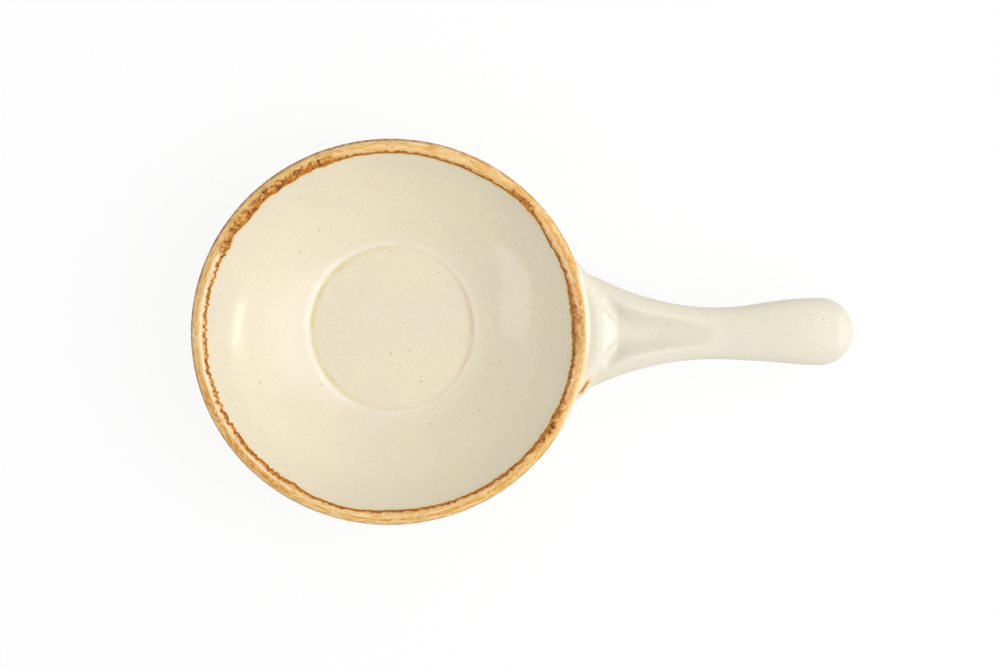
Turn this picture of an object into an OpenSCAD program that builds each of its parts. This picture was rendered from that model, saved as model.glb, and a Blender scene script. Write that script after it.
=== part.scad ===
// Lug soup bowl: a round stoneware bowl on a foot ring, with one long handle luted to its wall.
// The origin is the centre of the foot on the table, +Z is up and the handle points along +X.

/* [Bowl] */
// Outer diameter of the rim
rim_d = 160; // [140:1:190]
// Height from the table to the top of the rim
bowl_h = 43; // [40:0.5:56]
// Thickness of the wall, which ends in a fully rounded lip
wall_t = 5.6; // [4:0.1:7]
// Thickness of the floor under the well
floor_t = 5.4; // [4:0.1:8]
// Diameter of the round well sunk into the floor
well_d = 67; // [56:0.2:80]
// Depth of the well, with a step of 45 degrees round it
well_depth = 0.8; // [0.4:0.1:2]
// Slope of the wall where it leaves the well
wall_start_slope = 12; // [8:1:18]
// Slope of the wall where its tight lower curve ends
wall_mid_slope = 32; // [24:1:36]
// Radius of the tight lower curve, at the middle of the wall
wall_low_r = 33; // [20:1:40]

/* [Foot] */
// Outer diameter of the foot ring
foot_d = 72; // [60:0.5:80]
// Width of the foot ring
foot_w = 6; // [4:0.5:9]
// Height of the foot ring
foot_h = 4; // [2:0.5:6]
// Bevel on both edges that meet the table
foot_bevel = 1; // [0.4:0.1:1.8]

/* [Handle] */
// Reach of the handle beyond the rim
handle_len = 108.7; // [85:0.1:140]
// Width of the handle where it meets the rim
root_w = 48; // [38:0.5:54]
// Width of the handle at its narrow waist
waist_w = 21.2; // [16:0.2:26]
// Width of the grip, which ends in a half circle
grip_w = 27.6; // [20:0.2:34]
// Distance of the waist from the rim
waist_at = 52.5; // [40:0.5:65]
// Thickness of the handle under the rim
root_t = 17; // [14:0.5:20]
// Thickness of the waist
waist_t = 12.4; // [9:0.2:16]
// Thickness of the grip
grip_t = 14; // [10:0.2:18]
// Drop of the handle's top below the rim, at the root
root_drop = 1.6; // [1.2:0.1:5]
// Drop of the handle's top below the rim, at the waist
waist_drop = 4.4; // [2:0.1:8]
// Drop of the handle's top below the rim, at the grip
grip_drop = 1.4; // [0:0.1:6]

/* [Thumb scoop] */
// Length of the scoop along the handle, from the rim
scoop_len = 51; // [36:1:60]
// Greatest depth of the scoop
scoop_depth = 5; // [3:0.5:9]
// Distance of the deepest place from the rim
scoop_deep_at = 13; // [6:0.5:18]
// Width of the ridge left on each side of the scoop
scoop_ridge_w = 2.4; // [1.5:0.1:4]

/* [Slip joint and rim glaze] */
// Thickness of the clay slip between the wall and the handle
slip_t = 0.5; // [0.3:0.1:1]
// Width of the bead of slip squeezed out round the root
slip_bead = 1.2; // [0.6:0.1:2]
// Thickness of the second glaze on the rim
rim_glaze_t = 0.4; // [0.2:0.1:0.8]
// Drop of the rim glaze's lower edge below the rim, on the inside
rim_glaze_in = 4.2; // [3.4:0.1:8]
// Drop of the rim glaze's lower edge below the rim, on the outside
rim_glaze_out = 4.4; // [3.4:0.1:8]

/* [Hidden] */
$fn = 96;

cream_glaze = [0.93, 0.89, 0.78];
bare_clay = [0.86, 0.80, 0.70];
slip_clay = [0.90, 0.85, 0.74];
tan_glaze = [0.80, 0.60, 0.32];

// The wall follows a middle line of two tangent arcs, from the edge of the well up to the lip's centre.
// A slope is measured from the level, and lip_r also is half of the wall's thickness.
rim_r = rim_d / 2;
lip_r = wall_t / 2;
floor_z = foot_h + floor_t;
well_edge = [well_d / 2 + well_depth, floor_z + well_depth];
low_start = well_edge - lip_r * inward(wall_start_slope);
low_centre = low_start + wall_low_r * inward(wall_start_slope);
low_end = low_centre - wall_low_r * inward(wall_mid_slope);
lip_centre = [rim_r - lip_r, bowl_h - lip_r];
chord = lip_centre - low_end;
chord_slope = atan2(chord[1], chord[0]);
lip_slope = 2 * chord_slope - wall_mid_slope;
wall_up_r = norm(chord) / (2 * sin(chord_slope - wall_mid_slope));
up_centre = low_end + wall_up_r * inward(wall_mid_slope);

// Straight steps that stand for the curves of the wall and the lip
low_steps = 5;
up_steps = 8;
lip_steps = 12;

// Stations of the handle along X, and the points of each section
handle_end = rim_r + handle_len;
grip_centre = handle_end - grip_w / 2;
waist_x = rim_r + waist_at;
root_x = rim_r - 1.6 * root_t;
straight_stations = 24;
end_stations = 8;
// The last section stops just short of the tip, where it would have no size
end_turn = 88;
section_points = 28;
root_squareness = 3.2;
grip_squareness = 2.4;

// Unit vector into the bowl, square to a wall of this slope
function inward(slope) = [-sin(slope), cos(slope)];
// Smooth step from 0 to 1
function ease(t) = let (c = min(max(t, 0), 1)) c * c * (3 - 2 * c);
function between(a, b, t) = a + (b - a) * t;
function signed_power(v, e) = sign(v) * pow(abs(v), e);
function bulge(f) = sqrt(max(0, 1 - f * f));

// Points on the wall's surface at an offset from its middle line, outward where the offset is positive
function wall_arc(centre, r, from, to, steps) =
    [for (i = [0:steps]) centre - r * inward(between(from, to, i / steps))];
function wall_line(offset) = concat(
    wall_arc(low_centre, wall_low_r + offset, wall_start_slope, wall_mid_slope, low_steps),
    wall_arc(up_centre, wall_up_r + offset, wall_mid_slope, lip_slope, up_steps));
// The lip turns from the outside, over the top, to the inside
function lip_line(grow) =
    [for (i = [1:lip_steps - 1]) lip_centre - (lip_r + grow) * inward(lip_slope + 180 * i / lip_steps)];
function reversed(points) = [for (i = [len(points) - 1:-1:0]) points[i]];

// Half of the bowl's section, grown all round by an amount, with its inside left open
module wall_section(grow = 0) {
    polygon(concat(
        [[0, foot_h - grow], [wall_line(lip_r)[0][0], foot_h - grow]],
        wall_line(lip_r + grow),
        lip_line(grow),
        reversed(wall_line(-lip_r - grow)),
        [[well_d / 2, floor_z + grow], [0, floor_z + grow]]));
}

// The same with its inside filled to the rim
module filled_section(grow = 0) {
    wall_section(grow);
    polygon(concat(
        [[0, foot_h]],
        wall_line(0),
        [[lip_centre[0], bowl_h + grow], [0, bowl_h + grow]]));
}

module bowl_body() {
    color(cream_glaze)
        rotate_extrude()
            wall_section();
}

// The ring reaches up to the underside of the bowl, whether that is level or slopes
module foot_ring() {
    color(bare_clay)
        rotate_extrude()
            difference() {
                translate([foot_d / 2 - foot_w, 0])
                    polygon([
                        [foot_bevel, 0], [foot_w - foot_bevel, 0], [foot_w, foot_bevel],
                        [foot_w, floor_z], [0, floor_z], [0, foot_bevel]]);
                filled_section();
            }
}

// A coat over the lip that ends at one height inside the bowl and at another outside
module rim_glaze_band() {
    color(tan_glaze)
        rotate_extrude()
            difference() {
                intersection() {
                    wall_section(rim_glaze_t);
                    union() {
                        translate([0, bowl_h - rim_glaze_in])
                            square([lip_centre[0], rim_glaze_in + wall_t]);
                        translate([lip_centre[0], bowl_h - rim_glaze_out])
                            square([wall_t, rim_glaze_out + wall_t]);
                    }
                }
                wall_section();
            }
}

// Half of the handle's width in plan, before its end is rounded
function half_width(x) =
    x < waist_x
        ? between(waist_w, root_w, pow((waist_x - max(x, lip_centre[0])) / waist_at, 2)) / 2
        : between(waist_w, grip_w, ease((x - waist_x) / (grip_centre - waist_x))) / 2;
function top_z(x) = bowl_h - (x < waist_x
    ? between(root_drop, waist_drop, ease((x - rim_r) / waist_at))
    : between(waist_drop, grip_drop, ease((x - waist_x) / (grip_centre - waist_x))));
function thickness(x) =
    x < waist_x
        ? between(waist_t, root_t, pow((waist_x - x) / waist_at, 2))
        : between(waist_t, grip_t, ease((x - waist_x) / (grip_centre - waist_x)));
// The round end in plan and in side view, as shares of the full width and thickness
function end_width(x) = bulge(max(0, x - grip_centre) / (grip_w / 2));
function end_height(x) = bulge(max(0, x - handle_end + grip_t / 2) / (grip_t / 2));
// The scoop sinks from under the rim to its deepest place, then runs out at its far end
function scoop(x, y) =
    let (
        out = x - rim_r,
        sink_len = 1.5 * scoop_deep_at,
        along = ease((out - scoop_deep_at + sink_len) / sink_len)
            * (1 - ease((out - scoop_deep_at) / (scoop_len - scoop_deep_at))),
        across = y / (half_width(x) - scoop_ridge_w))
    scoop_depth * along * pow(max(0, 1 - across * across), 2);

// One section of the handle across X, grown all round by an amount
function handle_section(x, grow) =
    let (
        half_t = thickness(x) / 2,
        middle = top_z(x) - half_t,
        w = half_width(x) * end_width(x) + grow,
        h = half_t * end_height(x) + grow,
        power = 2 / between(root_squareness, grip_squareness, ease((x - rim_r) / waist_at)))
    [for (i = [0:section_points - 1])
        let (
            turn = 360 * i / section_points,
            y = w * signed_power(cos(turn), power),
            rise = h * signed_power(sin(turn), power))
        [x, y, middle + rise - (rise > 0 ? scoop(x, y) * rise / h : 0)]];

// A closed skin over a row of sections, with a flat face at each end
module loft(sections) {
    rows = len(sections);
    n = section_points;
    sides = [for (r = [0:rows - 2], i = [0:n - 1])
        let (a = r * n + i, b = r * n + (i + 1) % n)
        each [[a, b, b + n], [a, b + n, a + n]]];
    first_end = [for (i = [n - 1:-1:0]) i];
    last_end = [for (i = [0:n - 1]) (rows - 1) * n + i];
    polyhedron([for (s = sections) each s], concat(sides, [first_end, last_end]));
}

// The handle from inside the bowl's wall to a last station, grown all round by an amount
module handle_form(last_x, grow = 0) {
    straight = [for (i = [0:straight_stations])
        between(root_x, min(last_x, grip_centre), i / straight_stations)];
    rounded = last_x <= grip_centre ? [] :
        [for (i = [1:end_stations]) grip_centre + grip_w / 2 * sin(end_turn * i / end_stations)];
    loft([for (x = concat(straight, rounded)) handle_section(x, grow)]);
}

// Half of the section of the bowl with a coat of slip, up to the rim glaze
module slip_section() {
    intersection() {
        filled_section(slip_t);
        square([rim_d, bowl_h - rim_glaze_out]);
    }
}

module handle() {
    color(cream_glaze)
        difference() {
            handle_form(handle_end);
            rotate_extrude() {
                slip_section();
                filled_section(rim_glaze_t);
            }
        }
}

module handle_slip_joint() {
    color(slip_clay)
        intersection() {
            rotate_extrude()
                difference() {
                    slip_section();
                    filled_section();
                }
            handle_form(waist_x, slip_bead);
        }
}

bowl_body();
foot_ring();
handle();
handle_slip_joint();
rim_glaze_band();
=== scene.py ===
# %% [markdown]
# # A stoneware soup bowl with one long handle
# The CAD model gives the bowl's five pieces at their real size: the bowl, its foot ring, the handle,
# the clay slip that joins the handle to the wall, and a second glaze on the rim. This lesson models
# each piece again with soft, fired edges, and gives it its glaze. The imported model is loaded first
# and never moves.

# %% Load the frame
import math
from functools import partial

import bmesh
import bpy
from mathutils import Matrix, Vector, noise


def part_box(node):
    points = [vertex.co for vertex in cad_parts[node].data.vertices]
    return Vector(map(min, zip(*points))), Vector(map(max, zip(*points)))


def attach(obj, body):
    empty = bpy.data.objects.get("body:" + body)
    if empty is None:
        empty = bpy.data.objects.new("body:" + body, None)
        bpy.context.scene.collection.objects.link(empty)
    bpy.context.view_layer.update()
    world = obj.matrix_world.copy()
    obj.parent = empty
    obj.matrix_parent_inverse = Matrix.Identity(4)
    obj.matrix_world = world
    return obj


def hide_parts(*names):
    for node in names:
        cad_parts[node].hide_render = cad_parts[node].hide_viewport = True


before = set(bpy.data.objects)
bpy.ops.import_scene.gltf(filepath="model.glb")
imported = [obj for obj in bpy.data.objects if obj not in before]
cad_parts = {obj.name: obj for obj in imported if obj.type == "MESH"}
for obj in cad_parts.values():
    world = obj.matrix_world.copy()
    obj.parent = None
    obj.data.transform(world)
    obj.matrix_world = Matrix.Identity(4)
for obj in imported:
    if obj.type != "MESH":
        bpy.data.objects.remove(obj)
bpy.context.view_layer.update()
MM = 0.001
print("CAD nodes:", ", ".join(sorted(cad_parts)))

# %% [markdown]
# The outer sizes are read from the CAD boxes, so the pieces follow the model if it is packed again at
# another size. The sizes inside those boxes, such as the wall's thickness, are written here as the
# potter would.

# %% Sizes of the bowl
bowl_low, bowl_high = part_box("bowl_body")
brim_r = bowl_high.x
base_z = bowl_low.z
foot_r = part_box("foot_ring")[1].x
tip_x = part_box("handle")[1].x

wall_t = 5.6 * MM
floor_t = 5.4 * MM
rim_glaze_t = 0.35 * MM
well_r = 33.2 * MM
well_depth = 0.75 * MM
well_slant = 1.3 * MM
start_slope = math.radians(12)
mid_slope = math.radians(32)
low_r = 33 * MM
foot_w = 6 * MM

# The clay is drawn smaller by the rim glaze, so the glazed rim has the CAD bowl's size
rim_r = brim_r - rim_glaze_t
rim_z = bowl_high.z - rim_glaze_t
lip_r = wall_t / 2
floor_z = base_z + floor_t
lip_centre = Vector((rim_r - lip_r, rim_z - lip_r))
print(f"rim {2 * brim_r / MM:.1f} mm across, {bowl_high.z / MM:.1f} mm high, reach {tip_x / MM:.1f} mm")

# %% [markdown]
# The wall follows two arcs that meet without a kink, from the edge of the well up to the centre of a
# fully round lip. Both sides of the wall keep the same distance from that middle line.

# %% The wall's middle line
def inward(slope):
    """Unit vector into the bowl, square to a wall of this slope, as radius and height."""
    return Vector((-math.sin(slope), math.cos(slope)))


well_edge = Vector((well_r + well_slant, floor_z + well_depth))
low_start = well_edge - lip_r * inward(start_slope)
low_centre = low_start + low_r * inward(start_slope)
low_end = low_centre - low_r * inward(mid_slope)
chord = lip_centre - low_end
lip_slope = 2 * math.atan2(chord.y, chord.x) - mid_slope
up_r = chord.length / (2 * math.sin((lip_slope - mid_slope) / 2))
up_centre = low_end + up_r * inward(mid_slope)
slopes = [round(math.degrees(slope)) for slope in (start_slope, mid_slope, lip_slope)]
print("the wall's slope in degrees, from the well to the lip:", slopes)

# %% [markdown]
# ## Camera
# The photograph looks down from almost straight above. The well seems to lie a little above the
# middle of the rim in the picture, so the camera leans three degrees. A long lens from two metres
# keeps the rim and the foot in nearly the same scale.

# %% Camera
PICTURE_SPAN = 406.6 * MM
CAMERA_RISE = 2.0
CAMERA_TILT = math.radians(3.0)
aim = Vector((44.75 * MM, -0.55 * MM, lip_centre.y))

camera_data = bpy.data.cameras.new("camera")
camera = bpy.data.objects.new("camera", camera_data)
bpy.context.scene.collection.objects.link(camera)
camera.location = aim + CAMERA_RISE * Vector((0, math.tan(CAMERA_TILT), 1))
camera.rotation_euler = (-CAMERA_TILT, 0, 0)
camera_data.sensor_width = 36
camera_data.lens = camera_data.sensor_width * CAMERA_RISE / math.cos(CAMERA_TILT) / PICTURE_SPAN
bpy.context.scene.camera = camera
print(f"camera lens {camera_data.lens:.0f} mm")

# %% [markdown]
# ## Helpers for nodes
# Materials are built from nodes. One helper adds a node and sets or links its inputs. The others name
# the few sums that come up again and again: plain arithmetic, a soft step, and a mix of two colours.

# %% Node helpers
def srgb(red, green, blue):
    """A colour as a paint program writes it, 0 to 255, in the linear values that shaders use."""
    shares = [value / 255 for value in (red, green, blue)]
    return tuple(v / 12.92 if v <= 0.04045 else ((v + 0.055) / 1.055) ** 2.4 for v in shares) + (1.0,)


def put(tree, kind, values=None, **settings):
    """Adds a shader node, with its settings, and links or sets its inputs."""
    made = tree.nodes.new("ShaderNode" + kind)
    for name, value in settings.items():
        setattr(made, name, value)
    for key, value in (values or {}).items():
        if isinstance(value, bpy.types.NodeSocket):
            tree.links.new(value, made.inputs[key])
        else:
            made.inputs[key].default_value = value
    return made


def calc(tree, operation, first, second=0.0, third=0.0):
    return put(tree, "Math", {0: first, 1: second, 2: third}, operation=operation).outputs[0]


def step(tree, value, start, end, low=0.0, high=1.0):
    """Goes softly from low to high while the value goes from start to end."""
    limits = {"Value": value, "From Min": start, "From Max": end, "To Min": low, "To Max": high}
    return put(tree, "MapRange", limits, interpolation_type="SMOOTHSTEP").outputs["Result"]


def mix(tree, share, first, second):
    colours = {"Factor": share, 6: first, 7: second}
    return put(tree, "Mix", colours, data_type="RGBA").outputs[2]


def cloud(tree, place, scale, detail=2.0, roughness=0.5):
    """Smooth noise round 0.5. The scale counts its spots in one unit of the place."""
    inputs = {"Vector": place, "Scale": scale, "Detail": detail, "Roughness": roughness}
    return put(tree, "TexNoise", inputs).outputs["Fac"]


def new_group(name, inputs, outputs):
    """An empty shader group with named sockets, and its input and output nodes."""
    group = bpy.data.node_groups.new(name, "ShaderNodeTree")
    for in_out, sockets in (("INPUT", inputs), ("OUTPUT", outputs)):
        for socket_name, kind in sockets.items():
            group.interface.new_socket(socket_name, in_out=in_out, socket_type="NodeSocket" + kind)
    return group, group.nodes.new("NodeGroupInput").outputs, group.nodes.new("NodeGroupOutput").inputs


def place_group(tree, group, values):
    return put(tree, "Group", values, node_tree=group).outputs


def new_material(name):
    material = bpy.data.materials.new(name)
    material.use_nodes = True
    tree = material.node_tree
    tree.nodes.clear()
    surface = tree.nodes.new("ShaderNodeOutputMaterial").inputs["Surface"]
    return material, tree, surface


print("node helpers ready")

# %% [markdown]
# ## Stage
# The floor is pale. To the camera, and in reflections, it also gives off a soft white of its own, as
# a lit sweep of paper does, and its own shade keeps the bowl's shadow. The sky does the same.

# %% Floor and sky
FLOOR_GLOW = 0.87
FLOOR_SHADE = (0.80, 0.80, 0.79, 1)
FLOOR_HALF = 4.0
FLOOR_DROP = 0.03 * MM
SKY_LIGHT = 0.615
WHITE = (1, 1, 1, 1)


def seen_directly(tree):
    """1 for rays from the camera, a mirror or glass, and 0 for the light that falls on things."""
    rays = tree.nodes.new("ShaderNodeLightPath").outputs
    shown = calc(tree, "MAXIMUM", rays["Is Camera Ray"], rays["Is Glossy Ray"])
    return calc(tree, "MAXIMUM", shown, rays["Is Transmission Ray"])


floor_paper, tree, surface = new_material("floor_paper")
glow = put(tree, "Emission", {"Color": WHITE, "Strength": FLOOR_GLOW})
shade = put(tree, "BsdfDiffuse", {"Color": (1 - FLOOR_GLOW,) * 3 + (1,)})
lit = put(tree, "AddShader", {0: glow.outputs[0], 1: shade.outputs[0]})
plain = put(tree, "BsdfDiffuse", {"Color": FLOOR_SHADE})
both = put(tree, "MixShader", {0: seen_directly(tree), 1: plain.outputs[0], 2: lit.outputs[0]})
tree.links.new(both.outputs[0], surface)

floor_mesh = bpy.data.meshes.new("floor")
bm = bmesh.new()
bmesh.ops.create_grid(bm, x_segments=1, y_segments=1, size=FLOOR_HALF)
bm.to_mesh(floor_mesh)
bm.free()
floor_mesh.materials.append(floor_paper)
floor = bpy.data.objects.new("floor", floor_mesh)
floor.location.z = -FLOOR_DROP
bpy.context.scene.collection.objects.link(floor)

world = bpy.data.worlds.new("sky")
bpy.context.scene.world = world
world.use_nodes = True
tree = world.node_tree
tree.nodes.clear()
dim = put(tree, "Background", {"Color": WHITE, "Strength": SKY_LIGHT})
white = put(tree, "Background", {"Color": WHITE, "Strength": 1.0})
both = put(tree, "MixShader", {0: seen_directly(tree), 1: dim.outputs[0], 2: white.outputs[0]})
tree.links.new(both.outputs[0], tree.nodes.new("ShaderNodeOutputWorld").inputs["Surface"])
print(f"floor glows {FLOOR_GLOW}, sky lights {SKY_LIGHT}")

# %% [markdown]
# One large softbox stands at the handle's end and makes the far wall of the bowl the brighter one.
# Its light runs out softly at the edges. A low panel behind it is mirrored in the steep front of the
# thumb scoop and leaves a streak on the far wall. A wide, weak panel on the other side, turned a
# little, leaves a faint window on the wall by the handle.

# %% Lamps
def fade_edges(lamp_data, soft):
    """Lets a lamp's light run out over this share of its width, so its mirrored image has soft edges."""
    lamp_data.use_nodes = True
    tree = lamp_data.node_tree
    tree.nodes.clear()
    strength = 1 / (1 - soft) ** 2
    for way in put(tree, "SeparateXYZ", {0: put(tree, "NewGeometry").outputs["Parametric"]}).outputs[:2]:
        off_middle = calc(tree, "ABSOLUTE", calc(tree, "SUBTRACT", way, 0.5))
        strength = calc(tree, "MULTIPLY", step(tree, off_middle, 0.5 - soft, 0.5, 1.0, 0.0), strength)
    glow = put(tree, "Emission", {"Strength": strength})
    tree.links.new(glow.outputs[0], tree.nodes.new("ShaderNodeOutputLight").inputs["Surface"])


def softbox(name, place, width, height, watts, soft, roll=0.0):
    """A rectangular lamp that faces the bowl, with soft edges."""
    lamp_data = bpy.data.lights.new(name, "AREA")
    lamp_data.shape = "RECTANGLE"
    lamp_data.size = width
    lamp_data.size_y = height
    lamp_data.energy = watts
    lamp = bpy.data.objects.new(name, lamp_data)
    bpy.context.scene.collection.objects.link(lamp)
    lamp.location = place
    lamp.rotation_euler = (aim - Vector(place)).to_track_quat("-Z", "Y").to_euler()
    lamp.rotation_euler.rotate_axis("Z", roll)
    fade_edges(lamp_data, soft)


softbox("key_softbox", (0.63, -0.02, 0.74), 1.60, 1.50, watts=5.8, soft=0.38)
softbox("low_panel", (1.50, -0.14, 0.27), 0.80, 0.15, watts=0.7, soft=0.40)
softbox("window_panel", (-1.05, -0.38, 0.34), 0.90, 0.27, watts=0.8, soft=0.06, roll=math.radians(-20))
bpy.context.scene.view_settings.view_transform = "Standard"

# %% [markdown]
# ## The cream glaze
# The glaze is a warm white with faint clouds, and small brown specks where iron in the clay bled
# through. Specks are made with a Voronoi texture: near the middle of each cell there is one dot. The
# texture fills space, so only the dots that happen to lie on the surface show, and they fall as
# unevenly as real ones.

# %% Group: cream glaze
CREAM = srgb(226, 221, 203)
# Inside the bowl the cream turns warmer and brighter: partly a thicker glaze, partly painted light that
# makes up for the shade in the bowl's hollow
CREAM_WARM_AND_LIT = srgb(241, 230, 204)
WARM_WITHIN = 58 * MM
WARM_UNTIL = 86 * MM
SPECK = srgb(118, 74, 34)
GRAIN = srgb(222, 200, 160)
SPECK_CELL = 4.1 * MM
SPECK_R = 0.42 * MM

cream_group, given, result = new_group(
    "cream glaze", {"Place": "Vector"}, {"Colour": "Color", "Ripple": "Float"})
tree = cream_group
broad = cloud(tree, given["Place"], 28.0, 3.0)
fine = cloud(tree, given["Place"], 260.0, 2.0)
flat = put(tree, "VectorMath", {0: given["Place"], 1: (1, 1, 0)}, operation="MULTIPLY").outputs[0]
reach = put(tree, "VectorMath", {0: flat}, operation="LENGTH").outputs["Value"]
# Painted light, partly real: the warmer, brighter cream fills the inside of the bowl and fades out over the
# upper wall
warm = step(tree, reach, WARM_WITHIN, WARM_UNTIL, 0.65, 0.0)
warm = calc(tree, "ADD", warm, step(tree, broad, 0.35, 0.68, 0.0, 0.25))
warm = calc(tree, "MULTIPLY_ADD", fine, 0.15, warm)
colour = mix(tree, warm, CREAM, CREAM_WARM_AND_LIT)
grain = step(tree, cloud(tree, given["Place"], 800.0, 3.0), 0.42, 0.75, 0.0, 0.22)
colour = mix(tree, grain, colour, GRAIN)
cells = put(tree, "TexVoronoi", {"Vector": given["Place"], "Scale": 1 / SPECK_CELL}).outputs
chance = put(tree, "SeparateColor", {"Color": cells["Color"]}).outputs
radius = calc(tree, "MULTIPLY", chance[0], SPECK_R / SPECK_CELL)
speck = step(tree, calc(tree, "DIVIDE", cells["Distance"], radius), 0.55, 1.0, 1.0, 0.0)
strength = calc(tree, "MULTIPLY_ADD", chance[1], 0.55, 0.4)
speck = calc(tree, "MULTIPLY", speck, strength)
tree.links.new(mix(tree, speck, colour, SPECK), result["Colour"])
ripple = calc(tree, "MULTIPLY_ADD", fine, 0.25, cloud(tree, given["Place"], 70.0, 1.0))
tree.links.new(ripple, result["Ripple"])
print("cream glaze group:", len(cream_group.nodes), "nodes")

# %% [markdown]
# ## The reactive rim glaze
# A second glaze is laid over the lip. In the fire it runs a little: it thins to tan on the lip, and
# gathers to a dark, toothed line at its lower edge. No two stretches of the rim are alike, so two
# rings of zones say where it blotched, where a second line formed, where it stayed pale
# and how far it ran. The group works in two directions: across the lip, in millimetres from its
# crest, and round the rim.

# %% Where the glaze runs, round the rim
WARP = 0.0155
WARP_TURN = math.radians(4.3)
# Each zone starts at an angle from the handle, in degrees, with its blotches, its second line, its paleness
# and how white the crest is, where the glaze breaks pale and a painted highlight lies on it,
# most on the side away from the handle.
RIM_ZONES = (
    (0, 0.70, 0.70, 0.10, 0.35),
    (12, 0.70, 0.95, 0.10, 0.35),
    (18, 0.40, 1.00, 0.10, 0.45),
    (30, 0.30, 0.80, 0.20, 0.30),
    (38, 0.25, 0.40, 0.20, 0.15),
    (42, 0.95, 0.30, 0.20, 0.10),
    (48, 0.95, 0.30, 0.10, 0.10),
    (53, 0.15, 0.20, 0.50, 0.10),
    (100, 0.10, 0.10, 0.50, 0.15),
    (111, 0.95, 0.00, 0.20, 0.00),
    (152, 0.95, 0.00, 0.10, 0.00),
    (157, 0.35, 0.20, 0.50, 0.80),
    (192, 0.35, 0.30, 0.40, 1.00),
    (200, 0.45, 0.95, 0.20, 0.80),
    (236, 0.45, 1.00, 0.10, 0.50),
    (244, 0.10, 0.10, 0.60, 0.10),
    (256, 0.10, 0.50, 0.50, 0.15),
    (264, 0.15, 1.00, 0.30, 0.25),
    (296, 0.20, 1.00, 0.30, 0.25),
    (320, 0.50, 0.50, 0.20, 0.10),
    (326, 1.00, 0.40, 0.10, 0.15),
    (336, 0.80, 0.50, 0.10, 0.25),
    (344, 0.40, 0.70, 0.20, 0.40),
    (360, 0.70, 0.70, 0.10, 0.35),
)
# How far down from the crest the glaze ran, in millimetres, and how toothed its edge is.
RIM_RUNS = (
    (0, 4.8, 0.4),
    (4, 4.3, 0.4),
    (11, 4.8, 0.5),
    (15, 3.7, 0.4),
    (25, 3.7, 0.4),
    (29, 4.1, 0.4),
    (33, 3.4, 0.3),
    (38, 2.7, 0.2),
    (50, 3.0, 0.3),
    (60, 3.7, 0.2),
    (74, 3.7, 0.2),
    (82, 3.4, 0.1),
    (102, 3.4, 0.1),
    (110, 3.7, 0.3),
    (126, 3.9, 0.4),
    (135, 3.5, 0.4),
    (143, 4.4, 0.4),
    (148, 3.0, 0.4),
    (152, 3.9, 0.6),
    (158, 3.7, 0.7),
    (185, 3.7, 1.0),
    (205, 3.6, 0.9),
    (224, 3.6, 0.6),
    (238, 4.0, 0.8),
    (242, 3.2, 0.1),
    (258, 2.9, 0.0),
    (272, 3.7, 0.2),
    (290, 3.3, 0.3),
    (322, 3.0, 0.2),
    (342, 3.4, 0.4),
    (354, 3.7, 0.4),
    (360, 4.8, 0.4),
)


def zone_ramp(tree, turn, zones):
    """Blends from zone to zone round the rim and gives up to four of their amounts."""
    ramp = put(tree, "ValToRGB", {"Fac": turn})
    stops = ramp.color_ramp.elements
    while len(stops) < len(zones):
        stops.new(0.5)
    for stop, (degrees, *amounts) in zip(stops, zones):
        stop.position = degrees / 360
        stop.color = (amounts + [0.0, 0.0])[:4]
    return *put(tree, "SeparateColor", {"Color": ramp.outputs["Color"]}).outputs, ramp.outputs["Alpha"]


print(len(RIM_ZONES), "zones and", len(RIM_RUNS), "runs round the rim")

# %% Group: rim glaze, its places
rim_group, given, result = new_group(
    "rim glaze", {"Place": "Vector", "Under": "Color"},
    {"Colour": "Color", "Cover": "Float", "Relief": "Float"})
tree = rim_group
turned = put(tree, "Mapping", {"Vector": given["Place"], "Rotation": (0, 0, -WARP_TURN)}).outputs[0]
rounded = put(tree, "Mapping", {"Vector": turned, "Scale": (1 / (1 + WARP), 1 / (1 - WARP), 1)}).outputs[0]
x, y, z = put(tree, "SeparateXYZ", {0: rounded}).outputs
flat = put(tree, "CombineXYZ", {"X": x, "Y": y}).outputs[0]
reach = put(tree, "VectorMath", {0: flat}, operation="LENGTH").outputs["Value"]
from_crest = calc(tree, "DIVIDE", calc(tree, "SUBTRACT", reach, brim_r - lip_r), MM)
under_lip = calc(tree, "MAXIMUM", calc(tree, "DIVIDE", calc(tree, "SUBTRACT", lip_centre.y, z), MM), 0.0)
from_wall = calc(tree, "MULTIPLY_ADD", under_lip, 1 / math.tan(lip_slope), from_crest)
outside = calc(tree, "GREATER_THAN", from_wall, 0.0)
way_down = calc(tree, "ADD", calc(tree, "SUBTRACT", from_wall, from_crest), under_lip)
across = calc(tree, "MULTIPLY_ADD", outside, way_down, from_crest)
place_x, place_y = put(tree, "SeparateXYZ", {0: given["Place"]}).outputs[:2]
angle = calc(tree, "DIVIDE", calc(tree, "ARCTAN2", place_y, place_x), 2 * math.pi)
turn = calc(tree, "FRACT", calc(tree, "ADD", angle, 1.0))
blotchy, second, pale, crest = zone_ramp(tree, turn, RIM_ZONES)
run, toothed = zone_ramp(tree, turn, RIM_RUNS)[:2]
ring = put(tree, "VectorMath", {0: flat}, operation="NORMALIZE").outputs[0]
ring = put(tree, "VectorMath", {0: ring, "Scale": rim_r / MM}, operation="SCALE").outputs[0]


def marks(along, over):
    """A place that counts so many marks in a millimetre along the rim, and so many across it."""
    run_along = put(rim_group, "VectorMath", {0: ring, "Scale": along}, operation="SCALE").outputs[0]
    run_over = put(rim_group, "CombineXYZ", {"Z": calc(rim_group, "MULTIPLY", across, over)}).outputs[0]
    return put(rim_group, "VectorMath", {0: run_along, 1: run_over}, operation="ADD").outputs[0]


print("places ready: across the lip and round the rim")

# %% Group: rim glaze, where it lies
# How far out over the lip the glaze lies, in millimetres from the crest. It draws back beside the handle,
# by the distance sideways from HANDLE_SIDE.
OUTER_EDGE = 5.4
OUTER_EDGE_AT_HANDLE = 1.5
HANDLE_SIDE = -7 * MM
HANDLE_NEAR = 22 * MM
HANDLE_FAR = 60 * MM
ROOT_NEAR = 28.6 * MM
ROOT_FAR = 44 * MM

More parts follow.
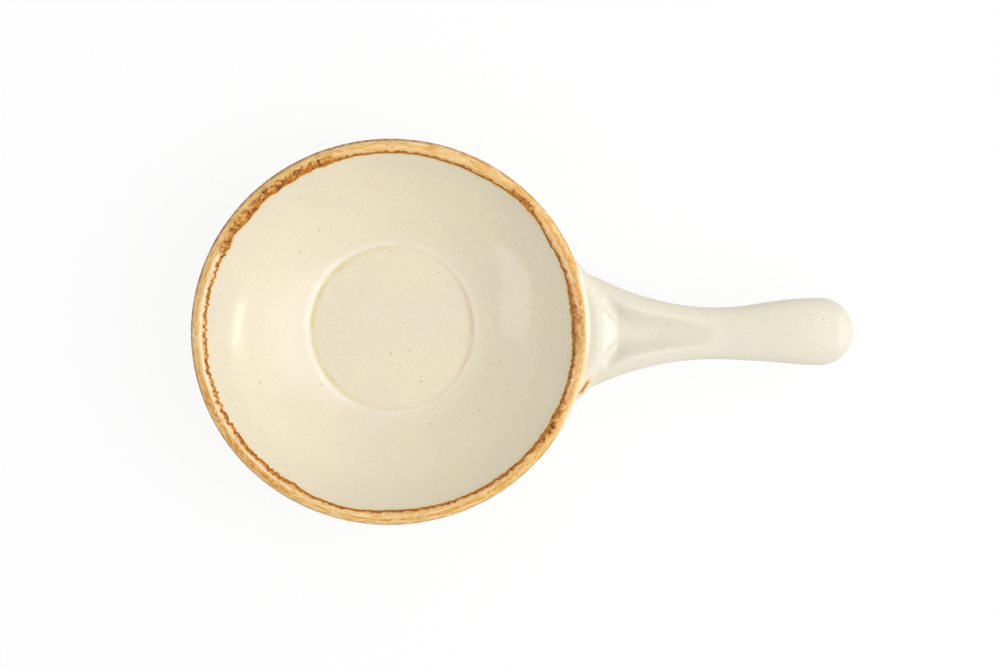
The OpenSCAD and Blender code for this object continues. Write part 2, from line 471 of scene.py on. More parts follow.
lobes = calc(tree, "SUBTRACT", cloud(tree, marks(0.16, 0.0), 1.0, 1.0), 0.5)
teeth = calc(tree, "SUBTRACT", cloud(tree, marks(0.70, 0.15), 1.0, 1.0), 0.5)
ragged = calc(tree, "MULTIPLY", lobes, step(tree, blotchy, 0.3, 1.0, 0.5, 1.8))
ragged = calc(tree, "MULTIPLY_ADD", teeth, step(tree, toothed, 0.0, 1.0, 0.5, 2.0), ragged)
inner_side = calc(tree, "SUBTRACT", calc(tree, "ADD", across, run), ragged)
off_handle = calc(tree, "ABSOLUTE", calc(tree, "SUBTRACT", place_y, HANDLE_SIDE))
handle_half = calc(tree, "GREATER_THAN", place_x, 0.0)
near_handle = calc(tree, "MULTIPLY", handle_half, step(tree, off_handle, ROOT_FAR, ROOT_NEAR))
away = calc(tree, "SUBTRACT", 1.0, near_handle)
outer_edge = step(tree, off_handle, HANDLE_NEAR, HANDLE_FAR, OUTER_EDGE_AT_HANDLE, OUTER_EDGE)
far_half_edge = calc(tree, "MULTIPLY_ADD", handle_half, -OUTER_EDGE, OUTER_EDGE)
outer_edge = calc(tree, "MAXIMUM", outer_edge, far_half_edge)
outer_side = calc(tree, "SUBTRACT", calc(tree, "MULTIPLY_ADD", ragged, 0.5, outer_edge), across)
outer_soft = step(tree, near_handle, 0.0, 1.0, 0.3, 1.0)
cover = calc(tree, "MULTIPLY", step(tree, inner_side, -0.15, 0.2),
             step(tree, calc(tree, "DIVIDE", outer_side, outer_soft), -0.6, 1.0))
inset = calc(tree, "MINIMUM", inner_side, calc(tree, "MULTIPLY_ADD", near_handle, 9.0, outer_side))
print("the glaze covers the lip, and stops short of the handle's root")

# %% Group: rim glaze, tan and gold
TAN = srgb(239, 188, 104)
PEACH = srgb(249, 218, 158)
GOLD = srgb(212, 144, 44)
ORANGE = srgb(226, 156, 66)
# The crest's white: pale glaze where it breaks thin, with a painted highlight over it
CREST_BREAK_AND_HIGHLIGHT = srgb(254, 238, 221)
# Two lines along the rim, in millimetres from the crest: the second glaze line, and the crest's pale break
# with its painted highlight
SECOND_LINE_AT = 0.25
CREST_BREAK_AND_HIGHLIGHT_AT = -1.5

streak = cloud(tree, marks(0.10, 1.0), 1.0, 2.0)
hairs = cloud(tree, marks(0.24, 1.9), 1.0, 2.0)
spots = cloud(tree, marks(0.50, 0.62), 1.0, 3.0, 0.55)
mottles = cloud(tree, marks(0.55, 1.3), 1.0, 3.0, 0.6)
peach = calc(tree, "MULTIPLY_ADD", pale, 0.45, step(tree, streak, 0.36, 0.66, 0.0, 0.8))
colour = mix(tree, peach, TAN, PEACH)
colour = mix(tree, step(tree, hairs, 0.50, 0.64, 0.0, 0.7), colour, GOLD)
off_second = calc(tree, "ABSOLUTE", calc(tree, "SUBTRACT", across, SECOND_LINE_AT))
second_half = step(tree, blotchy, 0.1, 0.5, 0.5, 1.3)
second_line = step(tree, calc(tree, "DIVIDE", off_second, second_half), 0.5, 1.1, 1.0, 0.0)
second_line = calc(tree, "MULTIPLY", second_line, step(tree, mottles, 0.42, 0.58, 0.15, 1.0))
colour = mix(tree, calc(tree, "MULTIPLY", second_line, second), colour, GOLD)
glow = calc(tree, "MULTIPLY", step(tree, across, -0.6, -2.2, 0.0, 0.9), calc(tree, "SUBTRACT", 1.0, crest))
glow = calc(tree, "MULTIPLY", glow, calc(tree, "SUBTRACT", 1.0, pale))
colour = mix(tree, calc(tree, "MULTIPLY", glow, step(tree, spots, 0.35, 0.6, 0.3, 1.0)), colour, GOLD)
blot_zone = step(tree, blotchy, 0.45, 0.95)
warm = calc(tree, "MULTIPLY", blot_zone, step(tree, across, 0.2, -1.2, 0.0, 0.8))
colour = mix(tree, warm, colour, ORANGE)
# Painted highlight, partly real: a white line along the inner side of the crest, where the glaze also
# breaks pale. The zones' crest amount makes it strongest on the side away from the handle.
off_crest = calc(tree, "ABSOLUTE", calc(tree, "SUBTRACT", across, CREST_BREAK_AND_HIGHLIGHT_AT))
crest_break_and_highlight = step(tree, off_crest, 0.2, 0.8, 0.95, 0.0)
broken = step(tree, cloud(tree, marks(0.25, 0.9), 1.0, 3.0), 0.36, 0.58, 0.4, 1.0)
crest_break_and_highlight = calc(tree, "MULTIPLY", crest_break_and_highlight, calc(tree, "MULTIPLY", broken, crest))
colour = mix(tree, crest_break_and_highlight, colour, CREST_BREAK_AND_HIGHLIGHT)
print("tan, gold and the white crest painted")

# %% Group: rim glaze, brown
BROWN = srgb(178, 104, 14)
BROWN_DARK = srgb(104, 50, 24)
OUTER_BROWN_AND_SHADE = srgb(142, 98, 50)
# The outer line is brown glaze with painted shade: it is darker on the side that this vector points to,
# away from the handle and the key light
SHADE_LEAN = (-0.8 / brim_r, 0.6 / brim_r)

line_t = calc(tree, "MULTIPLY", step(tree, blotchy, 0.1, 1.0, 0.95, 1.8),
              step(tree, cloud(tree, marks(0.35, 0.0), 1.0, 2.0), 0.35, 0.65, 0.7, 1.25))
edge_line = calc(tree, "MULTIPLY", step(tree, inset, -0.15, 0.25),
                 step(tree, calc(tree, "DIVIDE", inset, line_t), 0.6, 1.3, 1.0, 0.0))
band = calc(tree, "MULTIPLY", step(tree, inset, -0.1, 0.2),
            step(tree, calc(tree, "DIVIDE", inset, line_t), 0.8, 1.5, 0.75, 0.0))
colour = mix(tree, band, colour, GOLD)
gaps = step(tree, toothed, 0.0, 1.0, 0.7, 0.1)
edge_line = calc(tree, "MULTIPLY", edge_line,
                 step(tree, cloud(tree, marks(0.70, 0.3), 1.0, 2.0), 0.3, 0.55, gaps, 1.0))
edge_line = calc(tree, "MULTIPLY", edge_line, step(tree, blot_zone, 0.0, 1.0, 1.0, 0.6))
lobed = calc(tree, "MULTIPLY_ADD", lobes, -3.0, across)
blots = calc(tree, "MULTIPLY", step(tree, spots, 0.47, 0.55, 0.0, 0.95), blot_zone)
blots = calc(tree, "MULTIPLY", blots, step(tree, lobed, 0.7, -0.7))
brown = calc(tree, "MAXIMUM", edge_line, blots)
colour = mix(tree, brown, colour, BROWN)
dark = step(tree, cloud(tree, marks(0.60, 0.7), 1.0, 3.0), 0.48, 0.59)
dark = calc(tree, "MULTIPLY", dark, step(tree, blotchy, 0.1, 0.9, 0.55, 0.9))
dark = calc(tree, "MULTIPLY", dark, brown)
colour = mix(tree, dark, colour, BROWN_DARK)
flecks = cloud(tree, given["Place"], 0.45 / MM, 3.0, 0.6)
# Painted shade, partly real: a brown line at the lip's outer edge, where the glaze is darker and where the
# lip turns down into shade
outer_line_and_shade = calc(tree, "MULTIPLY", step(tree, across, 1.6, 2.1), step(tree, across, 2.5, 3.6, 1.0, 0.0))
outer_line_and_shade = calc(tree, "MULTIPLY", outer_line_and_shade, step(tree, flecks, 0.38, 0.60, 0.30, 1.0))
shade_lean = calc(tree, "MULTIPLY_ADD", place_y, SHADE_LEAN[1], calc(tree, "MULTIPLY", place_x, SHADE_LEAN[0]))
outer_line_and_shade = calc(tree, "MULTIPLY", outer_line_and_shade, step(tree, shade_lean, -0.5, 1.0, 0.4, 0.95))
colour = mix(tree, calc(tree, "MULTIPLY", outer_line_and_shade, away), colour, OUTER_BROWN_AND_SHADE)
print("brown edge, blotches and outer line painted")

# %% Group: rim glaze, over the cream
FRINGE = srgb(240, 217, 150)
# Painted highlight on the lip's outer rounding beside the handle's root: white above, peach towards the
# lower corner
SHELF_HIGHLIGHT_WHITE = srgb(248, 239, 217)
SHELF_HIGHLIGHT_PEACH = srgb(246, 226, 188)
# A drip of the rim glaze in the lower corner of the handle's root: where it lies, how far it slants, how
# ragged it is and its colour
DRIP_Y = -22.3 * MM
DRIP_OUT = 4.1
DRIP_SLANT = 0.30
DRIP_RAGGED = 2.4
DRIP_TAN = srgb(240, 206, 136)

fringe = step(tree, calc(tree, "MINIMUM", inner_side, outer_side), -0.9, -0.1, 0.0, 0.6)
fringe = calc(tree, "MULTIPLY", fringe, calc(tree, "MAXIMUM", away, calc(tree, "LESS_THAN", across, 0.0)))
under = mix(tree, fringe, given["Under"], FRINGE)
# Painted highlight: a band over the lip's outer rounding, only beside the handle's root
shelf = calc(tree, "MULTIPLY", step(tree, across, 0.6, 1.4), step(tree, across, 2.9, 3.5, 1.0, 0.0))
shelf_highlight_colour = mix(tree, step(tree, place_y, 0.0, -12 * MM), SHELF_HIGHLIGHT_WHITE, SHELF_HIGHLIGHT_PEACH)
under = mix(tree, calc(tree, "MULTIPLY", shelf, near_handle), under, shelf_highlight_colour)
drip_along = calc(tree, "DIVIDE", calc(tree, "SUBTRACT", place_y, DRIP_Y), MM)
drip_middle = calc(tree, "MULTIPLY_ADD", drip_along, DRIP_SLANT, DRIP_OUT)
drip_off = calc(tree, "MULTIPLY_ADD", mottles, DRIP_RAGGED, calc(tree, "SUBTRACT", from_crest, drip_middle))
drip_off = calc(tree, "ABSOLUTE", calc(tree, "SUBTRACT", drip_off, DRIP_RAGGED / 2))
drip_size = calc(tree, "ABSOLUTE", drip_along)
drip = calc(tree, "MULTIPLY", step(tree, drip_size, 5.0, 2.5), step(tree, under_lip, 5.5, 2.0))
drip = calc(tree, "MULTIPLY", drip, handle_half)
drip_halo = calc(tree, "MULTIPLY", drip, step(tree, drip_off, 2.2, 0.5, 0.0, 0.85))
under = mix(tree, drip_halo, under, DRIP_TAN)
drip_core = step(tree, drip_off, 1.0, 0.2, 0.0, 0.9)
drip_core = calc(tree, "MULTIPLY", drip_core, step(tree, drip_size, 3.4, 1.4))
under = mix(tree, calc(tree, "MULTIPLY", drip, drip_core), under, BROWN)
tree.links.new(mix(tree, cover, under, colour), result["Colour"])
tree.links.new(cover, result["Cover"])
tree.links.new(calc(tree, "MULTIPLY", cover, calc(tree, "SUBTRACT", streak, brown)), result["Relief"])
print("rim glaze group:", len(rim_group.nodes), "nodes")

# %% [markdown]
# ## Materials
# Every glazed piece is painted with the cream group and, over it, the rim group, at the same places
# in space. So the marks run on across the joints between pieces, as they do where glaze covers a
# joint. The bowl adds a thin greenish-yellow ring where the glaze pooled at the edge of the well.

# %% Materials: glazed clay
POOL = srgb(224, 208, 146)
POOL_RED = srgb(226, 200, 172)
# The pale edge outside the well: thinner glaze with a painted highlight on it
THIN_GLAZE_AND_HIGHLIGHT = srgb(250, 246, 233)
CREAM_ROUGH = 0.10
RIM_ROUGH = 0.09
CREAM_MIRROR = 0.5
RIM_MIRROR = 0.3
RIPPLE_DEPTH = 0.4 * MM


def pooled(tree, place, colour):
    """Tints the glaze where it gathered in the well's corner, and pales the edge outside: thinner glaze
    there, with a painted highlight, strongest on the side away from the handle.
    """
    x, y, z = put(tree, "SeparateXYZ", {0: place}).outputs
    reach = put(tree, "VectorMath", {0: put(tree, "CombineXYZ", {"X": x, "Y": y}).outputs[0]},
                operation="LENGTH").outputs["Value"]
    out = calc(tree, "DIVIDE", calc(tree, "SUBTRACT", reach, well_r), MM)
    inside = step(tree, z, floor_z + 1.6 * MM, floor_z + 2.4 * MM, 1.0, 0.0)
    patchy = calc(tree, "MULTIPLY", inside, step(tree, cloud(tree, place, 110.0), 0.34, 0.64, 0.45, 1.0))
    left = step(tree, x, -well_r, well_r * 0.3, 1.0, 0.0)
    right = step(tree, x, well_r * 0.7, well_r, 0.0, 0.7)
    # Painted highlight, partly real: the pale edge outside the well is stronger on the side away from the
    # handle
    thin = calc(tree, "MULTIPLY", step(tree, out, 0.6, 1.3), step(tree, out, 2.0, 4.2, 1.0, 0.0))
    thin = calc(tree, "MULTIPLY", thin, step(tree, x, -well_r, 0.0, 0.70, 0.25))
    thin = calc(tree, "MULTIPLY", thin, patchy)
    pool = calc(tree, "MULTIPLY", step(tree, out, -2.4, 0.0), step(tree, out, 0.3, 0.9, 1.0, 0.0))
    pool = calc(tree, "MULTIPLY", pool, patchy)
    colour = mix(tree, thin, colour, THIN_GLAZE_AND_HIGHLIGHT)
    colour = mix(tree, calc(tree, "MULTIPLY", pool, left), colour, POOL)
    return mix(tree, calc(tree, "MULTIPLY", pool, right), colour, POOL_RED)


def glazed(name, with_pool=False):
    material, tree, surface = new_material(name)
    place = tree.nodes.new("ShaderNodeTexCoord").outputs["Object"]
    cream = place_group(tree, cream_group, {"Place": place})
    colour = pooled(tree, place, cream["Colour"]) if with_pool else cream["Colour"]
    rim = place_group(tree, rim_group, {"Place": place, "Under": colour})
    relief = calc(tree, "MULTIPLY_ADD", rim["Relief"], 0.35, cream["Ripple"])
    bump = put(tree, "Bump", {"Height": relief, "Strength": 0.25, "Distance": RIPPLE_DEPTH})
    gloss = step(tree, rim["Cover"], 0.0, 1.0, CREAM_ROUGH, RIM_ROUGH)
    mirror = step(tree, rim["Cover"], 0.0, 1.0, CREAM_MIRROR, RIM_MIRROR)
    paint = put(tree, "BsdfPrincipled", {
        "Base Color": rim["Colour"], "Roughness": gloss, "IOR": 1.5, "Specular IOR Level": mirror,
        "Normal": bump.outputs[0]})
    tree.links.new(paint.outputs[0], surface)
    return material


bowl_glaze = glazed("bowl_glaze", with_pool=True)
handle_glaze = glazed("handle_glaze")
rim_glaze = glazed("rim_glaze")
slip_glaze = glazed("slip_glaze")
print("glazed materials made")

# %% Material: bare foot
CLAY = srgb(222, 205, 178)
CLAY_DARK = srgb(196, 174, 142)
CLAY_ROUGH = 0.78
GLAZE_ROUGH = 0.12
GLAZE_LINE = 2.3 * MM
WIPE_UNEVEN = 0.9 * MM
SAND_DEPTH = 0.2 * MM


def bare_foot(name):
    material, tree, surface = new_material(name)
    place = tree.nodes.new("ShaderNodeTexCoord").outputs["Object"]
    cream = place_group(tree, cream_group, {"Place": place})
    sand = cloud(tree, place, 1800.0, 3.0, 0.65)
    clay = mix(tree, step(tree, sand, 0.35, 0.7), CLAY, CLAY_DARK)
    height = put(tree, "SeparateXYZ", {0: place}).outputs["Z"]
    wiped = calc(tree, "MULTIPLY_ADD", cloud(tree, place, 180.0), WIPE_UNEVEN, GLAZE_LINE - WIPE_UNEVEN / 2)
    glaze = step(tree, calc(tree, "SUBTRACT", height, wiped), 0.0, 0.25 * MM)
    colour = mix(tree, glaze, clay, cream["Colour"])
    rough = step(tree, glaze, 0.0, 1.0, CLAY_ROUGH, GLAZE_ROUGH)
    relief = calc(tree, "MULTIPLY", sand, step(tree, glaze, 0.0, 1.0, 1.0, 0.05))
    bump = put(tree, "Bump", {"Height": relief, "Strength": 0.5, "Distance": SAND_DEPTH})
    paint = put(tree, "BsdfPrincipled", {
        "Base Color": colour, "Roughness": rough, "Normal": bump.outputs[0]})
    tree.links.new(paint.outputs[0], surface)
    return material


foot_clay = bare_foot("foot_clay")
print("bare clay made")

# %% [markdown]
# ## The bowl
# A potter cuts a bowl's section in a template and turns the clay against it. The same way serves
# here: the section is drawn once with lines and arcs, its corners are rounded, and a full spin turns
# it round the axis.

# %% Drawing a section and turning it
TURN_STEPS = 256


def pen_at(bm, point):
    return bm.verts.new((point[0], 0, point[1]))


def line_to(bm, pen, point):
    pen = bmesh.ops.extrude_vert_indiv(bm, verts=[pen])["verts"][0]
    pen.co = (point[0], 0, point[1])
    return pen


def arc_to(bm, pen, centre, turn, steps):
    """Draws an arc round a centre. A positive turn is clockwise, with the radius to the right."""
    made = bmesh.ops.spin(bm, geom=[pen], cent=(centre[0], 0, centre[1]), axis=(0, 1, 0), dvec=(0, 0, 0),
                          angle=turn, steps=steps)
    return next(part for part in made["geom_last"] if isinstance(part, bmesh.types.BMVert))


def round_corners(bm, corners, radius, segments):
    bmesh.ops.bevel(bm, geom=corners, offset=radius, offset_type="OFFSET", affect="VERTICES",
                    segments=segments, profile=0.5, material=-1)


def turn_section(bm):
    """Spins the drawn section round the axis and closes its seam and its poles."""
    bmesh.ops.spin(bm, geom=bm.verts[:] + bm.edges[:], cent=(0, 0, 0), axis=(0, 0, 1), dvec=(0, 0, 0),
                   angle=2 * math.pi, steps=TURN_STEPS, use_merge=True)
    bmesh.ops.remove_doubles(bm, verts=bm.verts, dist=0.001 * MM)
    bmesh.ops.recalc_face_normals(bm, faces=bm.faces)


print("section tools ready")

# %% [markdown]
# No fired bowl is quite round. In the picture the rim is three per cent longer along one line than
# across it, while the well is round, so the kiln's warp grows from nothing at the floor to its full
# size at the rim. It moves every piece in the same way, so the joints stay closed.

# %% Kiln warp and finished pieces
# Past the rim, along the handle, the warp dies out over this length
WARP_FADE = 22 * MM


def ease(share):
    """A smooth step from 0 to 1."""
    share = min(max(share, 0.0), 1.0)
    return share * share * (3 - 2 * share)


def between(first, last, share):
    return first + (last - first) * share


def kiln_warp(bm):
    long_way = Vector((math.cos(WARP_TURN), math.sin(WARP_TURN)))
    short_way = Vector((-long_way.y, long_way.x))
    for vert in bm.verts:
        flat = vert.co.xy
        reach = max(flat.length, MM)
        share = min(max((vert.co.z - floor_z) / (rim_z - floor_z), 0.0), 1.0)
        share *= min(1.0, rim_r / reach) * (1 - ease((reach - rim_r) / WARP_FADE))
        flat += WARP * share * (flat.dot(long_way) * long_way - flat.dot(short_way) * short_way)
        vert.co.x, vert.co.y = flat


def finish_piece(bm, name, material, node):
    """Warps the mesh, makes it an object on the root body and hides the CAD node that it stands for."""
    kiln_warp(bm)
    for face in bm.faces:
        face.smooth = True
    mesh = bpy.data.meshes.new(name)
    bm.to_mesh(mesh)
    bm.free()
    mesh.materials.append(material)
    piece = bpy.data.objects.new(name, mesh)
    bpy.context.scene.collection.objects.link(piece)
    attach(piece, "root")
    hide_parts(node)
    print(f"{name}: {len(mesh.polygons)} faces, stands for {node}")


print(f"kiln warp: {100 * WARP:.2f} % each way")

# %% Bowl
WELL_ROUND = 0.65 * MM

bm = bmesh.new()
pen = pen_at(bm, (0, floor_z))
for share in (0.1, 0.25, 0.45, 0.65, 0.85):
    pen = line_to(bm, pen, (share * well_r, floor_z))
well_foot = line_to(bm, pen, (well_r, floor_z))
well_top = line_to(bm, well_foot, well_edge)
pen = arc_to(bm, well_top, low_centre, start_slope - mid_slope, 10)
pen = arc_to(bm, pen, up_centre, mid_slope - lip_slope, 32)
pen = arc_to(bm, pen, lip_centre, math.pi, 24)
pen = arc_to(bm, pen, up_centre, lip_slope - mid_slope, 32)
pen = arc_to(bm, pen, low_centre, mid_slope - start_slope, 8)
pen = line_to(bm, pen, (foot_r - foot_w / 2, base_z))
for share in (0.8, 0.5, 0.2, 0.0):
    pen = line_to(bm, pen, (share * (foot_r - foot_w / 2), base_z))
round_corners(bm, [well_foot, well_top], WELL_ROUND, 4)
turn_section(bm)
finish_piece(bm, "bowl", bowl_glaze, "bowl_body")

# %% [markdown]
# ## The rim glaze
# The second glaze is a thin skin over the lip. Its strip is drawn and spun like the bowl and sunk a
# little into the clay, then a second layer is extruded from it and lifted along its normals. The lift
# fades at both edges until the skin dips into the clay, so it has no hard border, and it swells and
# thins a little round the rim.

# %% Rim glaze
RIM_GLAZE_DROP = 4.3 * MM
COAT_SINK = 0.12 * MM
COAT_EDGE = 0.04 * MM
SWELL = 0.25
SWELL_SIZE = 7 * MM
inner_slope = math.acos((up_centre.y - (rim_z - RIM_GLAZE_DROP)) / (up_r - lip_r))
outer_slope = math.acos((up_centre.y - (rim_z - RIM_GLAZE_DROP)) / (up_r + lip_r))

bm = bmesh.new()
pen = pen_at(bm, up_centre - (up_r - lip_r) * inward(inner_slope))
pen = arc_to(bm, pen, up_centre, inner_slope - lip_slope, 6)
pen = arc_to(bm, pen, lip_centre, math.pi, 24)
pen = arc_to(bm, pen, up_centre, lip_slope - outer_slope, 6)
turn_section(bm)
crest_face = max(bm.faces, key=lambda face: face.calc_center_median().z)
if crest_face.normal.z < 0:
    bmesh.ops.reverse_faces(bm, faces=bm.faces)
bm.normal_update()
for vert in bm.verts:
    vert.co -= COAT_SINK * vert.normal
lifted = bmesh.ops.extrude_face_region(bm, geom=bm.faces[:], use_keep_orig=True)["geom"]
bm.normal_update()
for vert in lifted:
    if isinstance(vert, bmesh.types.BMVert):
        fade = 1 - ease((rim_z - vert.co.z - MM) / (RIM_GLAZE_DROP - MM))
        swell = 1 + SWELL * noise.noise(vert.co / SWELL_SIZE)
        vert.co += (COAT_SINK + between(-COAT_EDGE, rim_glaze_t * swell, fade)) * vert.normal
bmesh.ops.recalc_face_normals(bm, faces=bm.faces)
finish_piece(bm, "rim_glaze_coat", rim_glaze, "rim_glaze_band")

# %% [markdown]
# ## The foot ring
# The ring is turned with a rounded standing edge and a fillet up to the bowl on both sides. Its lower
# part is wiped free of glaze before firing, so that it doesn't stick to the kiln shelf.

# %% Foot ring
FOOT_FILLET = 1.6 * MM
FOOT_EDGE = 1.0 * MM
TUCK = 0.06 * MM
FOOT_SKIRT = 4 * MM


def underside_z(radius):
    """Height of the bowl's outside near the foot."""
    return low_centre.y - math.sqrt((low_r + lip_r) ** 2 - (radius - low_centre.x) ** 2)


inner_r = foot_r - foot_w
skirt_r = foot_r + FOOT_SKIRT
bm = bmesh.new()
first = pen_at(bm, (skirt_r, underside_z(skirt_r) + TUCK))
out_fillet = line_to(bm, first, (foot_r, underside_z(foot_r) + TUCK))
out_edge = line_to(bm, out_fillet, (foot_r, 0))
in_edge = line_to(bm, out_edge, (inner_r, 0))
in_fillet = line_to(bm, in_edge, (inner_r, base_z + TUCK))
pen = line_to(bm, in_fillet, (inner_r - FOOT_SKIRT, base_z + TUCK))
# The rest of the section lies inside the bowl's clay
pen = line_to(bm, pen, (inner_r - FOOT_SKIRT, base_z + 10 * TUCK))
pen = line_to(bm, pen, (foot_r, underside_z(foot_r) + 10 * TUCK))
pen = line_to(bm, pen, (skirt_r, underside_z(skirt_r) + 8 * TUCK))
bm.edges.new((pen, first))
round_corners(bm, [out_fillet, in_fillet], FOOT_FILLET, 6)
round_corners(bm, [out_edge, in_edge], FOOT_EDGE, 6)
turn_section(bm)
finish_piece(bm, "foot_ring_turned", foot_clay, "foot_ring")

# %% [markdown]
# ## The handle
# The handle is cast in a mould and then stuck on. Its section changes all the way: a wide, low root
# under the lip, a scoop for the thumb, a waist, and a flat paddle with a round end. That is a loft:
# one ring of edges is extruded from place to place, and each place puts the ring's points on its own
# section.

# %% Sizes of the handle
root_w = 48 * MM
waist_w = 21.2 * MM
grip_w = 27.6 * MM
root_t = 17 * MM
waist_t = 12.4 * MM
grip_t = 14 * MM
root_drop = 1.6 * MM
waist_drop = 4.4 * MM
grip_drop = 1.4 * MM
waist_x = brim_r + 52.5 * MM
grip_x = tip_x - grip_w / 2
scoop_start = brim_r + 4.9 * MM
scoop_deep = brim_r + 12.6 * MM
scoop_end = brim_r + 51 * MM
scoop_depth = 5.0 * MM
scoop_half = 4.4 * MM
scoop_widen = 8 * MM
scoop_fan = 13 * MM
front_bow = 0.06
sway = -0.85 * MM
sway_hold = 5 * MM
sway_fade = 24 * MM
root_square = 3.2
grip_square = 2.7
print(f"waist at {waist_x / MM:.1f} mm, paddle's round end from {grip_x / MM:.1f} mm")

# %% Plan, side view and sections of the handle
def half_width(x):
    if x < waist_x:
        return between(waist_w, root_w, ((waist_x - x) / (waist_x - brim_r)) ** 2) / 2
    return between(waist_w, grip_w, ease((x - waist_x) / (grip_x - waist_x))) / 2


def top_z(x):
    if x < waist_x:
        return rim_z - between(root_drop, waist_drop, ease((x - brim_r) / (waist_x - brim_r)))
    return rim_z - between(waist_drop, grip_drop, ease((x - waist_x) / (grip_x - waist_x)))


def thickness(x):
    if x < waist_x:
        return between(waist_t, root_t, ((waist_x - x) / (waist_x - brim_r)) ** 2)
    return between(waist_t, grip_t, ease((x - waist_x) / (grip_x - waist_x)))


def round_end(past, radius):
    """What a quarter circle leaves of a width, past the place where it begins."""
    return math.sqrt(max(0.0, 1 - (max(0.0, past) / radius) ** 2))


def ramp(share, bend=0.10):
    """An even slope from 0 to 1, with both ends rounded over a share of its length."""
    share = min(max(share, 0.0), 1.0)
    if share > 0.5:
        return 1 - ramp(1 - share, bend)
    if share < bend:
        return share ** 2 / (2 * bend * (1 - bend))
    return (share - bend / 2) / (1 - bend)


def scoop(x, y):
    """Depth of the thumb's scoop, which opens like a fan at the lip and runs out at the waist."""
    back = max(0.0, (scoop_end - x) / (scoop_end - brim_r))
    half = scoop_half + scoop_widen * back + scoop_fan * back ** 6
    # Its floor is rounded at the waist and flat, with steep sides, near the lip
    flatness = between(2.6, 5.0, ease((back - 0.6) / 0.3))
    fall = ramp((x - scoop_start) / (scoop_deep - scoop_start))
    # The bow makes up for the slope of the handle's top, so that the front is a flat mirror
    fall += front_bow * fall * (1 - fall)
    rise = min(1.0, max(0.0, x - scoop_deep) / (scoop_end - scoop_deep)) ** 1.7
    return scoop_depth * fall * (1 - rise) * max(0.0, 1 - abs(y / half) ** flatness) ** 2


def axis_y(x):
    """The handle's middle line, which sways a little to one side at the waist, as it left the mould."""
    back = ease((x - waist_x - sway_hold) / sway_fade)
    return sway * ease((x - brim_r) / (waist_x - brim_r)) * (1 - back)


def section(x, turn):
    """A point on the handle's section at x, a rounded box with the scoop in its top."""
    square = between(root_square, grip_square, ease((x - brim_r) / (waist_x - brim_r)))
    side, up = math.cos(turn), math.sin(turn)
    reach = (abs(side) ** square + abs(up) ** square) ** (-1 / square)
    half_t = thickness(x) / 2
    y = half_width(x) * round_end(x - grip_x, grip_w / 2) * side * reach
    rise = half_t * round_end(x - tip_x + grip_t / 2, grip_t / 2) * up * reach
    sunk = scoop(x, y) * max(0.0, up * reach) if up > 0 else 0.0
    return Vector((x, y + axis_y(x), top_z(x) - half_t + rise - sunk))


print("handle sections ready")

# %% [markdown]
# At the root, each line along the handle leaves its last plain section, swings round and lands on the
# wall without a corner. A Hermite curve does that: it takes two points and the direction at each of
# them. The place on the wall is given by the way down from the crest of the lip, over its round edge
# and along the outside.

# %% Root of the handle on the wall
root_x = brim_r + 4.6 * MM
root_half = 31 * MM
root_half_low = 26 * MM
root_top_way = 3.1 * MM
root_way = 16 * MM
wall_square = 6.0
side_pull = 10 * MM
leave_pull_top = 6 * MM
arrive_pull_top = 4 * MM
lip_way = lip_r * (math.pi - lip_slope)


def on_wall(y, way, sink=0.0):
    """A point on the bowl's outside, at a way down from the crest of the lip."""
    if way < lip_way:
        turn = way / lip_r
        spot = lip_centre + (lip_r - sink) * Vector((math.sin(turn), math.cos(turn)))
    else:
        slope = lip_slope - (way - lip_way) / (up_r + lip_r)
        spot = up_centre - (up_r + lip_r - sink) * inward(slope)
    return Vector((math.sqrt(spot.x ** 2 - y ** 2), y, spot.y))


def root_place(turn, grow=1.0, sink=0.0):
    """Where the line at this turn lands on the wall."""
    side, up = math.cos(turn), math.sin(turn)
    reach = grow * (abs(side) ** wall_square + abs(up) ** wall_square) ** (-1 / wall_square)
    half = between(root_half, root_half_low, max(0.0, -up * reach))
    rise = root_way - root_top_way if up > 0 else root_way
    return on_wall(half * side * reach, root_way - rise * up * reach, sink)


def root_point(share, turn):
    """A point on the flare between the last plain section, at 0, and the wall, at 1."""
    start = section(root_x, turn)
    leave = (start - section(root_x + MM, turn)) / MM
    end = root_place(turn, sink=TUCK)
    # A slightly larger ring shows the way along the wall
    along_wall = (root_place(turn, 1.03, TUCK) - end).normalized()
    inwards = -Vector((end.x, end.y, 0)).normalized()
    on_top = ease((math.sin(turn) - 0.3) / 0.6)
    arrive = between(along_wall, inwards, on_top).normalized()
    leave_pull = between(side_pull, leave_pull_top, on_top)
    arrive_pull = between(side_pull, arrive_pull_top, on_top)
    s, s2, s3 = share, share ** 2, share ** 3
    return ((2 * s3 - 3 * s2 + 1) * start + (s3 - 2 * s2 + s) * leave_pull * leave
            + (3 * s2 - 2 * s3) * end + (s3 - s2) * arrive_pull * arrive)


print(f"the root is {2 * root_half / MM:.0f} mm wide on the wall and {2 * root_way / MM:.0f} mm deep")

# %% Lofting
RING_POINTS = 128


def loft(bm, places):
    """Extrudes one ring of edges through the places, in an empty mesh. Gives its first and last edges."""
    turn_layer = bm.verts.layers.float.new("turn")
    ring = bmesh.ops.create_circle(bm, segments=RING_POINTS, radius=1.0)["verts"]
    for vert in ring:
        vert[turn_layer] = math.atan2(vert.co.y, vert.co.x)
    edges = bm.edges[:]
    first = edges
    for number, place in enumerate(places):
        if number:
            made = bmesh.ops.extrude_edge_only(bm, edges=edges)["geom"]
            ring = {part for part in made if isinstance(part, bmesh.types.BMVert)}
            made_edges = [part for part in made if isinstance(part, bmesh.types.BMEdge)]
            edges = [edge for edge in made_edges if ring.issuperset(edge.verts)]
        for vert in ring:
            vert.co = place(vert[turn_layer])
    bm.verts.layers.float.remove(turn_layer)
    return first, edges


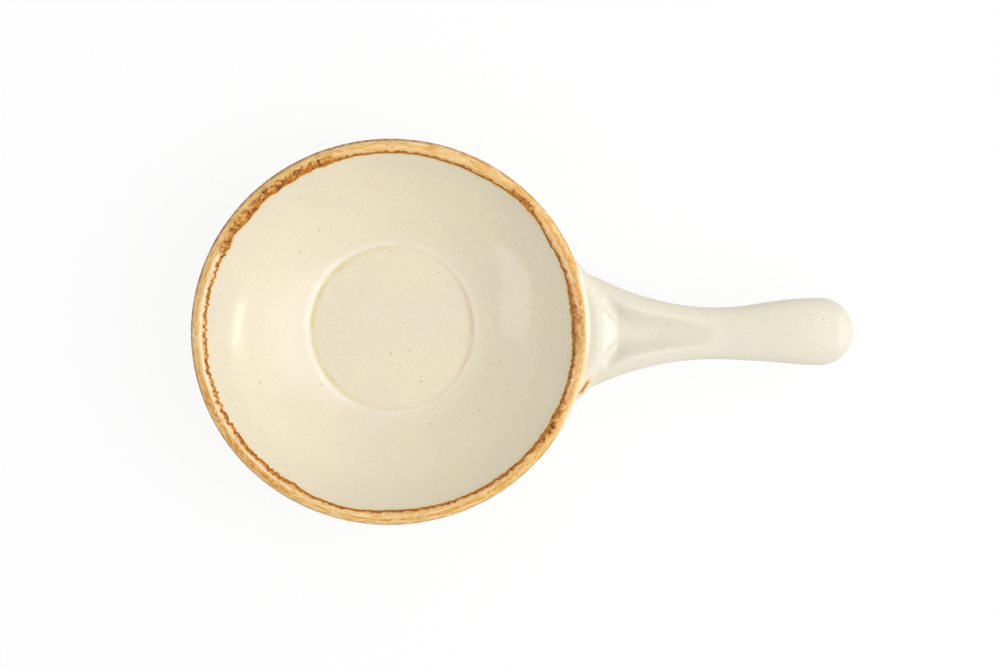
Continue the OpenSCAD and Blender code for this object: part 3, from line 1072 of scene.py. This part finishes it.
def close_end(bm, edges, tip, sharp):
    """Closes an open ring with a fan. A sharp border keeps the fan out of the smooth shading."""
    for edge in edges:
        edge.smooth = not sharp
    made = bmesh.ops.extrude_edge_only(bm, edges=edges)["geom"]
    fan = [part for part in made if isinstance(part, bmesh.types.BMVert)]
    bmesh.ops.pointmerge(bm, verts=fan, merge_co=tip)


def rings(shape, first, last, steps):
    """Places for the loft, from the first up to the last, which is left out."""
    return [partial(shape, between(first, last, number / steps)) for number in range(steps)]


def middle(edges):
    points = [vert.co for edge in edges for vert in edge.verts]
    return sum(points, Vector()) / len(points)


print("loft ready,", RING_POINTS, "points to a ring")

# %% Handle
JOINT = 0.72
ROOT_STEPS = 36
FRONT_STEPS = 22
BODY_STEPS = 60
END_STEPS = 26
END_TURN = math.radians(88)
# Up to here the rings lie closer, because the scoop's front mirrors a lamp
front_x = scoop_deep + 2 * MM

places = rings(root_point, JOINT, 0.0, ROOT_STEPS)
places += rings(section, root_x, front_x, FRONT_STEPS)
places += rings(section, front_x, grip_x, BODY_STEPS)
for number in range(END_STEPS + 1):
    past = grip_w / 2 * math.sin(END_TURN * number / END_STEPS)
    places.append(partial(section, grip_x + past))
bm = bmesh.new()
joint_edges, end_edges = loft(bm, places)
close_end(bm, joint_edges, middle(joint_edges), sharp=True)
close_end(bm, end_edges, section(tip_x, 0), sharp=False)
bmesh.ops.recalc_face_normals(bm, faces=bm.faces)
finish_piece(bm, "handle_cast", handle_glaze, "handle")

# %% [markdown]
# ## The slip joint
# Liquid clay glues the handle on, and what squeezes out is smoothed into a fillet. The piece is the
# last bit of the flare, where it lies down on the wall.

# %% Slip joint
SLIP_STEPS = 12

bm = bmesh.new()
places = rings(root_point, JOINT, 1.0, SLIP_STEPS) + [partial(root_point, 1.0)]
joint_edges, wall_edges = loft(bm, places)
close_end(bm, joint_edges, middle(joint_edges), sharp=True)
close_end(bm, wall_edges, on_wall(0, root_way, wall_t / 3), sharp=True)
bmesh.ops.recalc_face_normals(bm, faces=bm.faces)
finish_piece(bm, "slip_fillet", slip_glaze, "handle_slip_joint")
